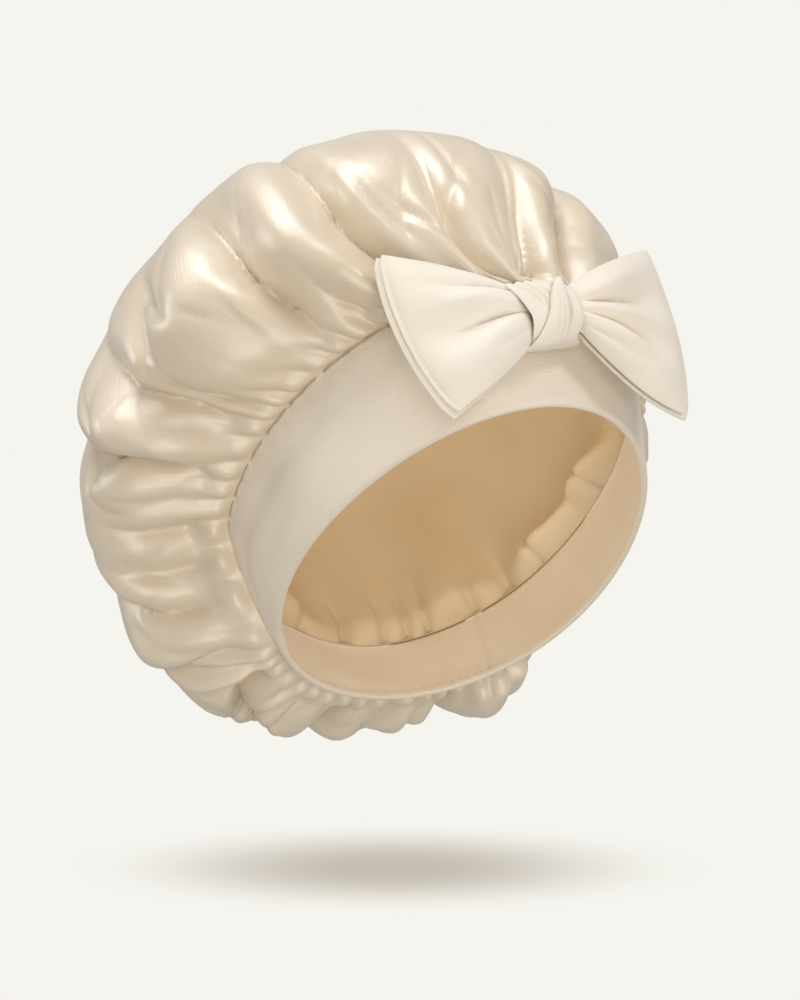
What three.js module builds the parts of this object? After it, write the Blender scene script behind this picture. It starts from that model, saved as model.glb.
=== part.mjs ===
// A satin sleep bonnet: a gathered crown, a wide folded band and a bow of two wings and a knot.
// Millimetres, +Z up through the crown, the bow at the front on -Y, the wearer's left on +X.
// The origin is the middle of the head opening, level with the fold at the band's lower edge.

import * as THREE from "three";

// Head opening and band
const RIM_HALF_LENGTH = 93; // middle of the opening to the fold at the forehead or the nape
const RIM_HALF_WIDTH = 70;
const NAPE_FULLNESS = 0.08; // how much wider than a plain oval the opening is at the nape, as a share
const BAND_FRONT_HEIGHT = 54; // fold to seam at the forehead
const BAND_SIDE_HEIGHT = 48.5;
const BAND_BACK_HEIGHT = 37; // the inner facing at the nape
const BAND_FLARE = 12.5; // how much further out the band is at its seam than at its fold
const HEM_HEIGHT = 5; // the outer layer at the nape, where the crown is sewn close to the fold
const HEM_START = 110; // degrees from the forehead where the outer layer starts to narrow
const HEM_END = 138; // degrees from the forehead where it is down to the hem
const FACING_THICKNESS = 1.4;
const OUTER_LAYER_THICKNESS = 1.6;
const FACING_STAND = 1.2; // how far the facing stands above the outer layer inside the crown

// Crown
const CROWN_FRONT_FULLNESS = 4.5; // how far its widest ring stands out past the band's seam
const CROWN_SIDE_FULLNESS = 41;
const CROWN_BACK_FULLNESS = 37;
const CROWN_LEAN = -15; // the widest ring leans to the wearer's right
const TOP_LEAN = -8;
const CROWN_FRONT_RISE = 50; // from the seam at the forehead to the widest ring
const CROWN_BACK_RISE = 36; // from the hem at the nape to the widest ring
const CROWN_TOP_RISE = 145; // from the seam at the forehead to the top
const CROWN_SAG = 32; // sets how deep the cloth behind hangs below a plain run from hem to widest ring
const SIDE_SAG_SHARE = 0.35; // how much of that sag the sides have
const CROWN_THICKNESS = 1.3;
const FOLD_DEPTH = 9;
const GATHER_DEPTH = 2.2; // the gathers along the seam
const WIDEST_SHARE = 0.38; // share of a run from seam to top that lies below the widest ring
const GATHERS_END = 0.32; // share of that run where the gathers have died out
const STITCHED_SHARE = 0.03; // share of that run that the seam holds flat
const FREE_SHARE = 0.16; // share of that run where the folds reach their own depth

// Bow
const BOW_SHIFT = -11; // along the band, to the wearer's right of the middle
const BOW_DROP = 20; // from the seam down to the knot's middle
const BOW_TILT = 6.5; // degrees that the wing on the wearer's left is raised
const LEFT_WING_TOP_REACH = 62; // middle of the knot to a wing's upper corner
const LEFT_WING_BOTTOM_REACH = 47;
const RIGHT_WING_TOP_REACH = 58;
const RIGHT_WING_BOTTOM_REACH = 51;
const WING_END_BULGE = 6; // how far a wing's end bows out between its corners
const LEFT_WING_HEIGHT = 79; // at its end
const RIGHT_WING_HEIGHT = 73;
const WING_WAIST_HEIGHT = 18; // gathered inside the knot
const LEFT_WING_SWEEP = 18; // how far a wing's end lies back from its waist, along the band
const RIGHT_WING_SWEEP = 10;
const LEFT_WING_DROOP = 6; // how far the middle of a wing's end hangs below its waist
const RIGHT_WING_DROOP = 0;
const WING_LOFT = 8; // how far the front cloth of a wing puffs out
const BACK_LEAF_SHOW = 1.2; // how far the back cloth shows past the front one
const WAIST_SPREAD = 2.8; // between the two cloths inside the knot
const LEAF_THICKNESS = 2;
const PLEAT_DEPTH = 5;
const LEFT_WING_SAG = 7; // how far a wing's lower edge hangs below a straight fan, halfway along it
const RIGHT_WING_SAG = 1.5;
const WING_SPREADING = 0.85; // below 1, a wing spreads sooner after the knot than a straight fan
const KNOT_WIDTH = 22;
const KNOT_HEIGHT = 29;
const KNOT_DEPTH = 18;
const KNOT_THICKNESS = 2.8;
const KNOT_CROWNING = 1; // how much the wrap stands out along its middle
const KNOT_SQUARENESS = 2.4; // 2 is an oval, and more is squarer
const STRAP_WIDTH = 15;
const STRAP_SLANT = 4; // how far the strap's upper end lies to the wearer's left of its middle
const STRAP_THICKNESS = 3;
const STRAP_EDGE_THICKNESS = 0.6;
const STRAP_END_TAPER = 0.35; // share of its width that the strap has lost at its ends
const STRAP_TURN = 100; // degrees from the knot's front to each end of the strap

const GAP = 0.3; // clearance between sewn pieces that touch

const ROUND_SEGMENTS = 108; // round the band and the crown
const CROWN_ROWS = 14;
const WING_ROWS = 9;
const WING_COLUMNS = 14;
const KNOT_SEGMENTS = 28;

const COLOURS = { satin: 0xe8dac3, band: 0xece3d2, bow: 0xeee6d8 };

// Folds of the crown, one row each. "at" is where a fold leaves the seam, in degrees from the forehead
// towards the wearer's left, and "drift" is how far it has moved round at the top. "half" is its half
// width in degrees and "depth" its depth as a share of FOLD_DEPTH, below zero for a puff. It is
// deepest at the share "middle" of the run from seam to top, and has died out at "end".
const FOLDS = [
  { at: -5, drift: 24, half: 5, depth: 0.45, middle: 0.25, end: 0.75 },
  { at: 7, drift: 26, half: 6, depth: 0.75, middle: 0.36, end: 0.8 },
  { at: -27, drift: -18, half: 6, depth: 0.8, middle: 0.36, end: 0.85 },
  { at: -40, drift: -12, half: 6, depth: -0.35, middle: 0.4, end: 0.8 },
  { at: -54, drift: 0, half: 7, depth: 0.8, middle: 0.3, end: 0.75 },
  { at: -66, drift: 0, half: 7, depth: -0.35, middle: 0.3, end: 0.7 },
  { at: -76, drift: 4, half: 6, depth: 0.4, middle: 0.22, end: 0.5 },
  { at: -83, drift: 0, half: 6, depth: 0.8, middle: 0.26, end: 0.6 },
  { at: -90, drift: -8, half: 6, depth: -0.5, middle: 0.34, end: 0.7 },
  { at: -97, drift: -12, half: 6, depth: 1, middle: 0.3, end: 0.66 },
  { at: -113, drift: 0, half: 5, depth: 0.5, middle: 0.12, end: 0.4 },
  { at: -123, drift: -16, half: 6, depth: 0.75, middle: 0.2, end: 0.55 },
  { at: -133, drift: -24, half: 6, depth: 0.6, middle: 0.18, end: 0.5 },
  { at: -145, drift: -60, half: 7, depth: 1.1, middle: 0.2, end: 0.55 },
  { at: -165, drift: -30, half: 6, depth: -0.2, middle: 0.2, end: 0.5 },
  { at: -178, drift: -10, half: 6, depth: 0.9, middle: 0.15, end: 0.45 },
  { at: 164, drift: 10, half: 6, depth: 0.5, middle: 0.14, end: 0.5 },
  { at: 139, drift: 0, half: 12, depth: -1.5, middle: 0.12, end: 0.45 },
  { at: 124, drift: 10, half: 6, depth: 0.5, middle: 0.22, end: 0.6 },
  { at: 114, drift: 8, half: 6, depth: 0.55, middle: 0.2, end: 0.5 },
  { at: 99, drift: 6, half: 7, depth: 1, middle: 0.3, end: 0.7 },
  { at: 84, drift: 4, half: 6, depth: 0.6, middle: 0.24, end: 0.5 },
  { at: 68, drift: 8, half: 7, depth: 0.85, middle: 0.34, end: 0.75 },
  { at: 50, drift: -4, half: 6, depth: 0.5, middle: 0.22, end: 0.5 },
  { at: 33, drift: 8, half: 7, depth: 0.8, middle: 0.35, end: 0.8 },
];

const WINGS = [
  {
    name: "left",
    side: 1,
    topReach: LEFT_WING_TOP_REACH,
    bottomReach: LEFT_WING_BOTTOM_REACH,
    height: LEFT_WING_HEIGHT,
    sweep: LEFT_WING_SWEEP,
    droop: LEFT_WING_DROOP,
    sag: LEFT_WING_SAG,
  },
  {
    name: "right",
    side: -1,
    topReach: RIGHT_WING_TOP_REACH,
    bottomReach: RIGHT_WING_BOTTOM_REACH,
    height: RIGHT_WING_HEIGHT,
    sweep: RIGHT_WING_SWEEP,
    droop: RIGHT_WING_DROOP,
    sag: RIGHT_WING_SAG,
  },
];

// Pleats of a wing's cloth, one row each: "at" is the place across the wing from -1 at its lower edge to
// 1 at its upper edge, "half" its half width there, "depth" a share of PLEAT_DEPTH, and "end" the share
// of the wing's length where it has died out
const PLEATS = [
  { at: 0.42, half: 0.34, depth: 0.8, end: 0.75 },
  { at: -0.26, half: 0.36, depth: 1, end: 0.8 },
];

const BAND_WALL = FACING_THICKNESS + OUTER_LAYER_THICKNESS;
const KNOT_MIDDLE = GAP + KNOT_CROWNING + KNOT_DEPTH / 2; // out from the band

const radians = THREE.MathUtils.degToRad;
const smooth = THREE.MathUtils.smoothstep;

// The turn from one angle to another the short way round, from -180 to 180 degrees in radians.
function turnBetween(angle, other) {
  return THREE.MathUtils.euclideanModulo(angle - other + Math.PI, 2 * Math.PI) - Math.PI;
}

// A size that goes from the forehead over the side to the nape and back.
function around(angle, front, side, back) {
  const c = Math.cos(angle);
  return side + (c * (front - back)) / 2 + c * c * ((front + back) / 2 - side);
}

// A closed solid from points and triangles, turned so that its faces point outwards.
function solid(points, faces) {
  let volume = 0;
  for (let i = 0; i < faces.length; i += 3) {
    const [a, b, c] = [points[faces[i]], points[faces[i + 1]], points[faces[i + 2]]];
    volume += a.dot(new THREE.Vector3().crossVectors(b, c));
  }
  if (volume < 0) faces.reverse();
  const geometry = new THREE.BufferGeometry().setFromPoints(points);
  geometry.setIndex(faces);
  geometry.computeVertexNormals();
  return geometry;
}

// Two triangles for the cell between two neighbouring points of two neighbouring rows.
function cell(faces, a, b, c, d) {
  faces.push(a, b, c, a, c, d);
}

// A closed ring: loops[i] is the section at the i-th step round it.
function ringSolid(loops) {
  const size = loops[0].length;
  const faces = [];
  loops.forEach((loop, i) => {
    const here = i * size;
    const next = ((i + 1) % loops.length) * size;
    loop.forEach((point, j) => {
      const k = (j + 1) % size;
      cell(faces, here + j, here + k, next + k, next + j);
    });
  });
  return solid(loops.flat(), faces);
}

// A sheet with two faces of rows by columns of points, closed along its edges.
function sheetSolid(front, back) {
  const rows = front.length;
  const columns = front[0].length;
  const points = [...front.flat(), ...back.flat()];
  const faces = [];
  const at = (side, i, j) => side * rows * columns + i * columns + j;
  for (let i = 0; i < rows - 1; i++) {
    for (let j = 0; j < columns - 1; j++) {
      cell(faces, at(0, i, j), at(0, i, j + 1), at(0, i + 1, j + 1), at(0, i + 1, j));
      cell(faces, at(1, i, j), at(1, i + 1, j), at(1, i + 1, j + 1), at(1, i, j + 1));
    }
  }
  for (let i = 0; i < rows - 1; i++) {
    const last = columns - 1;
    cell(faces, at(0, i, 0), at(0, i + 1, 0), at(1, i + 1, 0), at(1, i, 0));
    cell(faces, at(0, i, last), at(1, i, last), at(1, i + 1, last), at(0, i + 1, last));
  }
  for (let j = 0; j < columns - 1; j++) {
    const last = rows - 1;
    cell(faces, at(0, 0, j), at(1, 0, j), at(1, 0, j + 1), at(0, 0, j + 1));
    cell(faces, at(0, last, j), at(0, last, j + 1), at(1, last, j + 1), at(1, last, j));
  }
  return solid(points, faces);
}

function part(name, geometry, colour, roughness) {
  const material = new THREE.MeshStandardMaterial({ color: colour, roughness, metalness: 0 });
  const mesh = new THREE.Mesh(geometry, material);
  mesh.name = name;
  return mesh;
}

// The band

const facingHeight = (angle) =>
  around(angle, BAND_FRONT_HEIGHT, BAND_SIDE_HEIGHT, BAND_BACK_HEIGHT);

// Fold to seam on the outside: the facing's height less its stand, narrowing to the hem at the nape.
function seamHeight(angle) {
  const narrowing = smooth(Math.abs(turnBetween(angle, 0)), radians(HEM_START), radians(HEM_END));
  return THREE.MathUtils.lerp(facingHeight(angle) - FACING_STAND, HEM_HEIGHT, narrowing);
}

// A point of the band: out from the inner face of the fold, and up, with the flare.
function bandPoint(angle, out, height) {
  const reach = out + (BAND_FLARE * height) / facingHeight(angle);
  const widening = 1 - NAPE_FULLNESS * Math.cos(angle);
  return new THREE.Vector3(
    Math.sin(angle) * (RIM_HALF_WIDTH * widening + reach),
    -Math.cos(angle) * (RIM_HALF_LENGTH + reach),
    height,
  );
}

function bandSection(angle) {
  const wall = BAND_WALL;
  const corner = wall * 0.15;
  const top = facingHeight(angle);
  const seam = seamHeight(angle);
  const outline = [
    [0, top],
    [0, wall / 2],
    [corner, corner],
    [wall / 2, 0],
    [wall - corner, corner],
    [wall, wall / 2],
    [wall, seam],
    [FACING_THICKNESS, seam],
    [FACING_THICKNESS, top],
  ];
  return outline.map(([out, height]) => bandPoint(angle, out, height));
}

function makeBand() {
  const loops = [];
  for (let i = 0; i < ROUND_SEGMENTS; i++) {
    loops.push(bandSection((i / ROUND_SEGMENTS) * 2 * Math.PI));
  }
  return part("band", ringSolid(loops), COLOURS.band, 0.6);
}

// The crown

// The run of the crown's outer face from the seam over its widest ring to the top, without its folds.
function crownForm(angle, share) {
  const start = bandPoint(angle, FACING_THICKNESS + GAP + CROWN_THICKNESS, seamHeight(angle) + GAP);
  const frontSeam = seamHeight(0);
  const widestFront = frontSeam + CROWN_FRONT_RISE;
  const widestBack = seamHeight(Math.PI) + CROWN_BACK_RISE;
  const edge = BAND_WALL + BAND_FLARE;
  const frontReach = RIM_HALF_LENGTH + edge + CROWN_FRONT_FULLNESS;
  const backReach = RIM_HALF_LENGTH + edge + CROWN_BACK_FULLNESS;
  const setBack = (backReach - frontReach) / 2;
  const widest = new THREE.Vector3(
    Math.sin(angle) * (RIM_HALF_WIDTH + edge + CROWN_SIDE_FULLNESS) + CROWN_LEAN,
    (-Math.cos(angle) * (frontReach + backReach)) / 2 + setBack,
    around(angle, widestFront, (widestFront + widestBack) / 2, widestBack),
  );
  const top = new THREE.Vector3(TOP_LEAN, setBack, frontSeam + CROWN_TOP_RISE);
  if (share < WIDEST_SHARE) {
    const swing = ((share / WIDEST_SHARE) * Math.PI) / 2;
    const sag = CROWN_SAG * Math.sin(swing) ** 2 * Math.cos(swing) * around(angle, 0, SIDE_SAG_SHARE, 1);
    return new THREE.Vector3(
      THREE.MathUtils.lerp(start.x, widest.x, Math.sin(swing)),
      THREE.MathUtils.lerp(start.y, widest.y, Math.sin(swing)),
      THREE.MathUtils.lerp(start.z, widest.z, 1 - Math.cos(swing)) - sag,
    );
  }
  const swing = (((share - WIDEST_SHARE) / (1 - WIDEST_SHARE)) * Math.PI) / 2;
  return new THREE.Vector3(
    THREE.MathUtils.lerp(top.x, widest.x, Math.cos(swing)),
    THREE.MathUtils.lerp(top.y, widest.y, Math.cos(swing)),
    THREE.MathUtils.lerp(widest.z, top.z, Math.sin(swing)),
  );
}

// Half a wave that is 1 at the middle of a fold and 0 from its edge on.
function lobe(away, half) {
  const across = Math.min(Math.abs(away) / half, 1);
  return (1 + Math.cos(across * Math.PI)) / 2;
}

// How far the cloth lies in from the smooth form.
function foldInset(angle, share) {
  const gathers = Math.cos((ROUND_SEGMENTS / 4) * angle) * (1 - smooth(share, GATHERS_END / 4, GATHERS_END));
  let inset = GATHER_DEPTH * gathers;
  for (const fold of FOLDS) {
    const away = turnBetween(angle, radians(fold.at + fold.drift * share));
    const along = smooth(share, 0, fold.middle) * (1 - smooth(share, fold.middle, fold.end));
    inset += fold.depth * FOLD_DEPTH * lobe(away, radians(fold.half)) * along;
  }
  return inset * smooth(share, STITCHED_SHARE, FREE_SHARE);
}

function crownPoint(angle, share) {
  const step = 0.01;
  const upper = Math.min(share + step, 1 - step);
  const along = crownForm(angle, upper).sub(crownForm(angle, upper - 2 * step));
  const round = crownForm(angle + step, upper).sub(crownForm(angle - step, upper));
  const outwards = round.cross(along).normalize();
  return crownForm(angle, share).addScaledVector(outwards, -foldInset(angle, share));
}

function makeCrown() {
  const angles = Array.from({ length: ROUND_SEGMENTS }, (_, i) => (i / ROUND_SEGMENTS) * 2 * Math.PI);
  const top = crownForm(0, 1);
  const outer = [];
  for (let row = 0; row < CROWN_ROWS; row++) {
    outer.push(angles.map((angle) => crownPoint(angle, row / CROWN_ROWS)));
  }
  const inner = outer.map((ring, row) =>
    ring.map((point, i) => {
      if (row === 0) return bandPoint(angles[i], FACING_THICKNESS + GAP, seamHeight(angles[i]) + GAP);
      const before = ring[(i + ROUND_SEGMENTS - 1) % ROUND_SEGMENTS];
      const after = ring[(i + 1) % ROUND_SEGMENTS];
      const above = row + 1 < CROWN_ROWS ? outer[row + 1][i] : top;
      const round = after.clone().sub(before);
      const inwards = above.clone().sub(outer[row - 1][i]).cross(round).normalize();
      return point.clone().addScaledVector(inwards, CROWN_THICKNESS);
    }),
  );
  const innerTop = top.clone().setZ(top.z - CROWN_THICKNESS);
  const points = [...outer.flat(), top, ...inner.flat(), innerTop];
  const innerStart = CROWN_ROWS * ROUND_SEGMENTS + 1;
  const faces = [];
  for (let i = 0; i < ROUND_SEGMENTS; i++) {
    const k = (i + 1) % ROUND_SEGMENTS;
    for (let row = 0; row < CROWN_ROWS - 1; row++) {
      const here = row * ROUND_SEGMENTS;
      const next = here + ROUND_SEGMENTS;
      cell(faces, here + i, here + k, next + k, next + i);
      cell(faces, innerStart + here + i, innerStart + next + i, innerStart + next + k, innerStart + here + k);
    }
    const last = (CROWN_ROWS - 1) * ROUND_SEGMENTS;
    faces.push(last + i, last + k, innerStart - 1);
    faces.push(innerStart + last + k, innerStart + last + i, points.length - 1);
    cell(faces, k, i, innerStart + i, innerStart + k);
  }
  return part("crown", solid(points, faces), COLOURS.satin, 0.35);
}

// The bow, in a frame of its own: x along the band to the wearer's left, y up its slope, z out from it

// A point of a wing's cloth: along from the knot to the wing's end, across from -1 to 1 at its upper
// edge, and extra out from the middle of the cloth.
function wingPoint(wing, isFront, along, across, extra) {
  const corner = THREE.MathUtils.lerp(wing.bottomReach, wing.topReach, (across + 1) / 2);
  const show = isFront ? 0 : BACK_LEAF_SHOW;
  const end = corner + WING_END_BULGE * (1 - across * across) + show;
  const x = THREE.MathUtils.lerp(GAP, end, along);
  const free = Math.max(x - KNOT_WIDTH / 2, 0) / (end - KNOT_WIDTH / 2);
  const endHeight = wing.height + 2 * show * smooth(-across, 0, 1);
  const height = THREE.MathUtils.lerp(WING_WAIST_HEIGHT, endHeight, free ** WING_SPREADING);
  const far = x / (wing.topReach + WING_END_BULGE + BACK_LEAF_SHOW);
  const level = KNOT_MIDDLE - wing.sweep * far * far;
  const spread = THREE.MathUtils.lerp(WAIST_SPREAD, LEAF_THICKNESS + 2 * GAP, far) / 2;
  const sag = (wing.sag * Math.sin(Math.PI * free) * (1 - across)) / 2;
  const y = (across * height) / 2 - wing.droop * free - sag;
  if (!isFront) return new THREE.Vector3(wing.side * x, y, level - spread + extra);
  const puff = Math.sin(Math.PI * Math.min(free * 1.1, 1)) * (1 - across ** 4);
  let pleats = 0;
  for (const pleat of PLEATS) {
    const fade = smooth(free, 0, 0.3) * (1 - smooth(free, pleat.end / 2, pleat.end));
    pleats += pleat.depth * PLEAT_DEPTH * lobe(across - pleat.at, pleat.half) * fade;
  }
  return new THREE.Vector3(wing.side * x, y, level + spread + WING_LOFT * puff - pleats + extra);
}

function makeLeaf(name, wing, isFront) {
  const surface = (extra) => {
    const rows = [];
    for (let i = 0; i <= WING_ROWS; i++) {
      const row = [];
      for (let j = 0; j <= WING_COLUMNS; j++) {
        row.push(wingPoint(wing, isFront, i / WING_ROWS, (2 * j) / WING_COLUMNS - 1, extra));
      }
      rows.push(row);
    }
    return rows;
  };
  const half = LEAF_THICKNESS / 2;
  return part(name, sheetSolid(surface(half), surface(-half)), COLOURS.bow, 0.6);
}

// A point round the knot: turn 0 is its front, extra how far outside the wrap's outer face it lies.
function knotPoint(turn, x, extra) {
  const round = (value) => Math.sign(value) * Math.abs(value) ** (2 / KNOT_SQUARENESS);
  return new THREE.Vector3(
    x,
    round(Math.sin(turn)) * (KNOT_HEIGHT / 2 + extra),
    KNOT_MIDDLE + round(Math.cos(turn)) * (KNOT_DEPTH / 2 + extra),
  );
}

function makeKnotWrap() {
  const half = KNOT_WIDTH / 2;
  const shoulder = half * 0.75;
  const edge = -KNOT_THICKNESS / 3;
  const loops = [];
  for (let i = 0; i < KNOT_SEGMENTS; i++) {
    const turn = (i / KNOT_SEGMENTS) * 2 * Math.PI;
    loops.push([
      knotPoint(turn, -half, -KNOT_THICKNESS),
      knotPoint(turn, half, -KNOT_THICKNESS),
      knotPoint(turn, half, edge),
      knotPoint(turn, shoulder, 0),
      knotPoint(turn, 0, KNOT_CROWNING),
      knotPoint(turn, -shoulder, 0),
      knotPoint(turn, -half, edge),
    ]);
  }
  return part("knot_wrap", ringSolid(loops), COLOURS.bow, 0.6);
}

// The strap lies on the wrap's front from its top to its bottom, and thins out at both ends.
function makeKnotStrap() {
  const lengthSteps = KNOT_SEGMENTS / 2;
  const widthSteps = 6;
  const face = (isOuter) => {
    const rows = [];
    for (let i = 0; i <= lengthSteps; i++) {
      const along = (2 * i) / lengthSteps - 1;
      const row = [];
      for (let j = 0; j <= widthSteps; j++) {
        const across = (2 * j) / widthSteps - 1;
        const body = (1 - along ** 4) * (1 - across ** 2);
        const thickness = THREE.MathUtils.lerp(STRAP_EDGE_THICKNESS, STRAP_THICKNESS, body);
        const width = STRAP_WIDTH * (1 - STRAP_END_TAPER * along ** 2);
        const x = STRAP_SLANT * along + (across * width) / 2;
        const out = KNOT_CROWNING + GAP + (isOuter ? thickness : 0);
        row.push(knotPoint(radians(STRAP_TURN) * along, x, out));
      }
      rows.push(row);
    }
    return rows;
  };
  return part("knot_strap", sheetSolid(face(true), face(false)), COLOURS.bow, 0.6);
}

function makeBow() {
  const angle = Math.asin(BOW_SHIFT / (RIM_HALF_WIDTH + BAND_FLARE));
  const height = seamHeight(angle) - BOW_DROP;
  const step = 0.01;
  const seat = bandPoint(angle, BAND_WALL, height);
  const along = bandPoint(angle + step, BAND_WALL, height).sub(seat).normalize();
  const up = bandPoint(angle, BAND_WALL, height + BOW_DROP).sub(seat).normalize();
  const out = new THREE.Vector3().crossVectors(along, up).normalize();
  const squareUp = new THREE.Vector3().crossVectors(out, along);
  const tilt = new THREE.Matrix4().makeRotationZ(radians(BOW_TILT));
  const bow = new THREE.Group();
  for (const wing of WINGS) {
    bow.add(makeLeaf(wing.name + "_front_leaf", wing, true), makeLeaf(wing.name + "_back_leaf", wing, false));
  }
  bow.add(makeKnotWrap(), makeKnotStrap());
  bow.quaternion.setFromRotationMatrix(new THREE.Matrix4().makeBasis(along, squareUp, out).multiply(tilt));
  bow.position.copy(seat);
  return bow;
}

const bonnet = new THREE.Group();
bonnet.add(makeBand(), makeCrown(), makeBow());
export default bonnet;
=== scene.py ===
# %% [markdown]
# # A satin sleep bonnet
#
# The real thing is three pieces of sewing: a wide folded band round the head opening, a full
# satin crown gathered into it, and a flat bow with a knot at the front. The crown could be draped by
# a cloth simulation, but gathers are tighter than a simulation of this size resolves, so each
# surface here is a grid of cloth that is bent into shape by a few sewing sizes and a table of folds.

# %% Load the frame
import math

import bmesh
import bpy
import numpy as np
from mathutils import Matrix, Vector


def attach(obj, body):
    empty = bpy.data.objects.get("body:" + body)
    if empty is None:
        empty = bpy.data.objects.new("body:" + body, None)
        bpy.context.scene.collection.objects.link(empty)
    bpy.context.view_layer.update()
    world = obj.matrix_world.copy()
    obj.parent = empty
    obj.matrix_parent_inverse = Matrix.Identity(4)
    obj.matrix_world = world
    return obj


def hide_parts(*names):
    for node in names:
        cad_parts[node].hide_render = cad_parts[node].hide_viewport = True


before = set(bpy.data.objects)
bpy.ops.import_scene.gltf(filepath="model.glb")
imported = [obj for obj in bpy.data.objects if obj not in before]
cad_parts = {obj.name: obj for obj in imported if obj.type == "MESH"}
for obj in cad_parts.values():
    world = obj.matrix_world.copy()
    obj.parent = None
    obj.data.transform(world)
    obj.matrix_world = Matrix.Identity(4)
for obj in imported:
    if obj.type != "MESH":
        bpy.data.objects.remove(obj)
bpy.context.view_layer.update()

# %% [markdown]
# ## Camera
#
# The photograph looks up at the empty bonnet from below, at the wearer's right. A long lens keeps
# the two ends of the opening nearly the same scale. The three axes are worked out once and used
# again for the lights, because a studio sets its lamps from where the camera stands.

# %% Camera
AZIMUTH = math.radians(-36.9)
ELEVATION = math.radians(-37.3)
ROLL = math.radians(-17.6)
DISTANCE = 0.990
LENS = 85
SENSOR = 36
TARGET = Vector((-0.0146, 0.0109, 0.0407))

towards_camera = Vector((
    math.sin(AZIMUTH) * math.cos(ELEVATION),
    -math.cos(AZIMUTH) * math.cos(ELEVATION),
    math.sin(ELEVATION),
))
level_right = (-towards_camera).cross(Vector((0, 0, 1))).normalized()
level_up = level_right.cross(-towards_camera)
camera_right = level_right * math.cos(ROLL) + level_up * math.sin(ROLL)
camera_up = level_up * math.cos(ROLL) - level_right * math.sin(ROLL)

camera = bpy.data.objects.new("camera", bpy.data.cameras.new("camera"))
bpy.context.scene.collection.objects.link(camera)
camera.data.lens = LENS
camera.data.sensor_width = SENSOR
axes = Matrix((camera_right, camera_up, towards_camera)).transposed().to_4x4()
camera.matrix_world = Matrix.Translation(TARGET + towards_camera * DISTANCE) @ axes
bpy.context.scene.camera = camera
print("camera stands at", camera.matrix_world.translation)

# %% [markdown]
# ## Colour and node helpers
#
# Colours are picked as sRGB hex values and turned to linear light by one function. A second function
# adds a shader node, sets what it is told to, and joins its sockets.

# %% Colour and node helpers
def linear(code):
    """An sRGB hex colour as linear red, green, blue and alpha."""
    shares = [int(code[i:i + 2], 16) / 255 for i in (1, 3, 5)]
    return tuple(s / 12.92 if s <= 0.04045 else ((s + 0.055) / 1.055) ** 2.4 for s in shares) + (1.0,)


def add(tree, kind, settings=None, links=None):
    """A new node with its settings, and its inputs joined to other nodes' outputs."""
    node = tree.nodes.new(kind)
    for name, value in (settings or {}).items():
        if isinstance(name, str) and hasattr(node, name):
            setattr(node, name, value)
        else:
            node.inputs[name].default_value = value
    for name, source in (links or {}).items():
        tree.links.new(source, node.inputs[name])
    return node


def new_material(name):
    """A material with an empty node tree."""
    material = bpy.data.materials.new(name)
    material.use_nodes = True
    material.node_tree.nodes.clear()
    return material


# %% [markdown]
# ## Studio
#
# Plain soft light: a wide softbox overhead gives satin its broad pale highlights, a second one in
# front keeps the band and the bow bright, a dim one on the left opens the shadows, and two fills near
# the camera light the inside. The floor is far below, because the camera looks up. The pale wall
# behind carries the soft shadow that the photograph has under the bonnet.

# %% Studio lights
BACKGROUND = "#F5F4EE"
SHADOW = "#C6BDB0"


def softbox(name, right, up, near, distance, width, power, colour):
    """A square area light that faces the bonnet from a direction in the camera's own axes."""
    away = (camera_right * right + camera_up * up + towards_camera * near).normalized()
    lamp = bpy.data.lights.new(name, "AREA")
    lamp.energy = power
    lamp.size = width
    lamp.color = linear(colour)[:3]
    box = bpy.data.objects.new(name, lamp)
    bpy.context.scene.collection.objects.link(box)
    box.location = TARGET + away * distance
    box.rotation_euler = away.to_track_quat("Z", "Y").to_euler()


# One row for each softbox: its direction in the camera's own axes, how far off and how wide it is in
# metres, and its power in watts.
LAMP_COLUMNS = ("name", "right", "up", "near", "distance", "width", "power", "colour")
LAMPS = [
    ("overhead softbox", -0.22, 0.93, 0.08, 1.1, 0.55, 5.8, "#FFFFFF"),
    ("front softbox", 0.7, 0.75, 0.45, 1.3, 0.3, 3.0, "#FFFFFF"),
    ("left softbox", -0.95, 0.3, 0.05, 1.2, 0.45, 2.6, "#FFFFFF"),
    ("camera fill", 0.15, 0.1, 1.0, 1.2, 0.6, 2.5, "#FFFDFA"),
    ("lower fill", 0.2, -0.4, 1.0, 1.15, 0.6, 3.2, "#FFFAF2"),
]
for row in LAMPS:
    softbox(**dict(zip(LAMP_COLUMNS, row)))
print(len(LAMPS), "softboxes face the bonnet")

# %% Light through the crown
# Real satin lets some light through. The cloth here doesn't, so one dim warm lamp stands in for it.
INSIDE_POWER = 0.095
INSIDE_RADIUS = 0.045
INSIDE_PLACE = (-0.01, -0.02, 0.05)

inside_lamp = bpy.data.lights.new("light through the crown", "POINT")
inside_lamp.energy = INSIDE_POWER
inside_lamp.shadow_soft_size = INSIDE_RADIUS
inside_lamp.color = linear("#FFF3DF")[:3]
inside_light = bpy.data.objects.new("light through the crown", inside_lamp)
bpy.context.scene.collection.objects.link(inside_light)
inside_light.location = INSIDE_PLACE
inside_light.visible_camera = False

# %% World, floor and wall
WORLD_LIGHT = 0.4
FLOOR_BELOW = 1.6
FLOOR_HALF_WIDTH = 4.0
WALL_BEHIND = 2.2
WALL_HALF_WIDTH = 2.0
PHOTO_HEIGHT = 1000
# The soft shadow on the wall: its middle from the photograph's middle and its half sizes, in pixels
SHADOW_PIXELS = {"right": -10, "up": -368, "half_width": 330, "half_height": 48}
SHADOW_EDGE = 1.05

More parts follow.
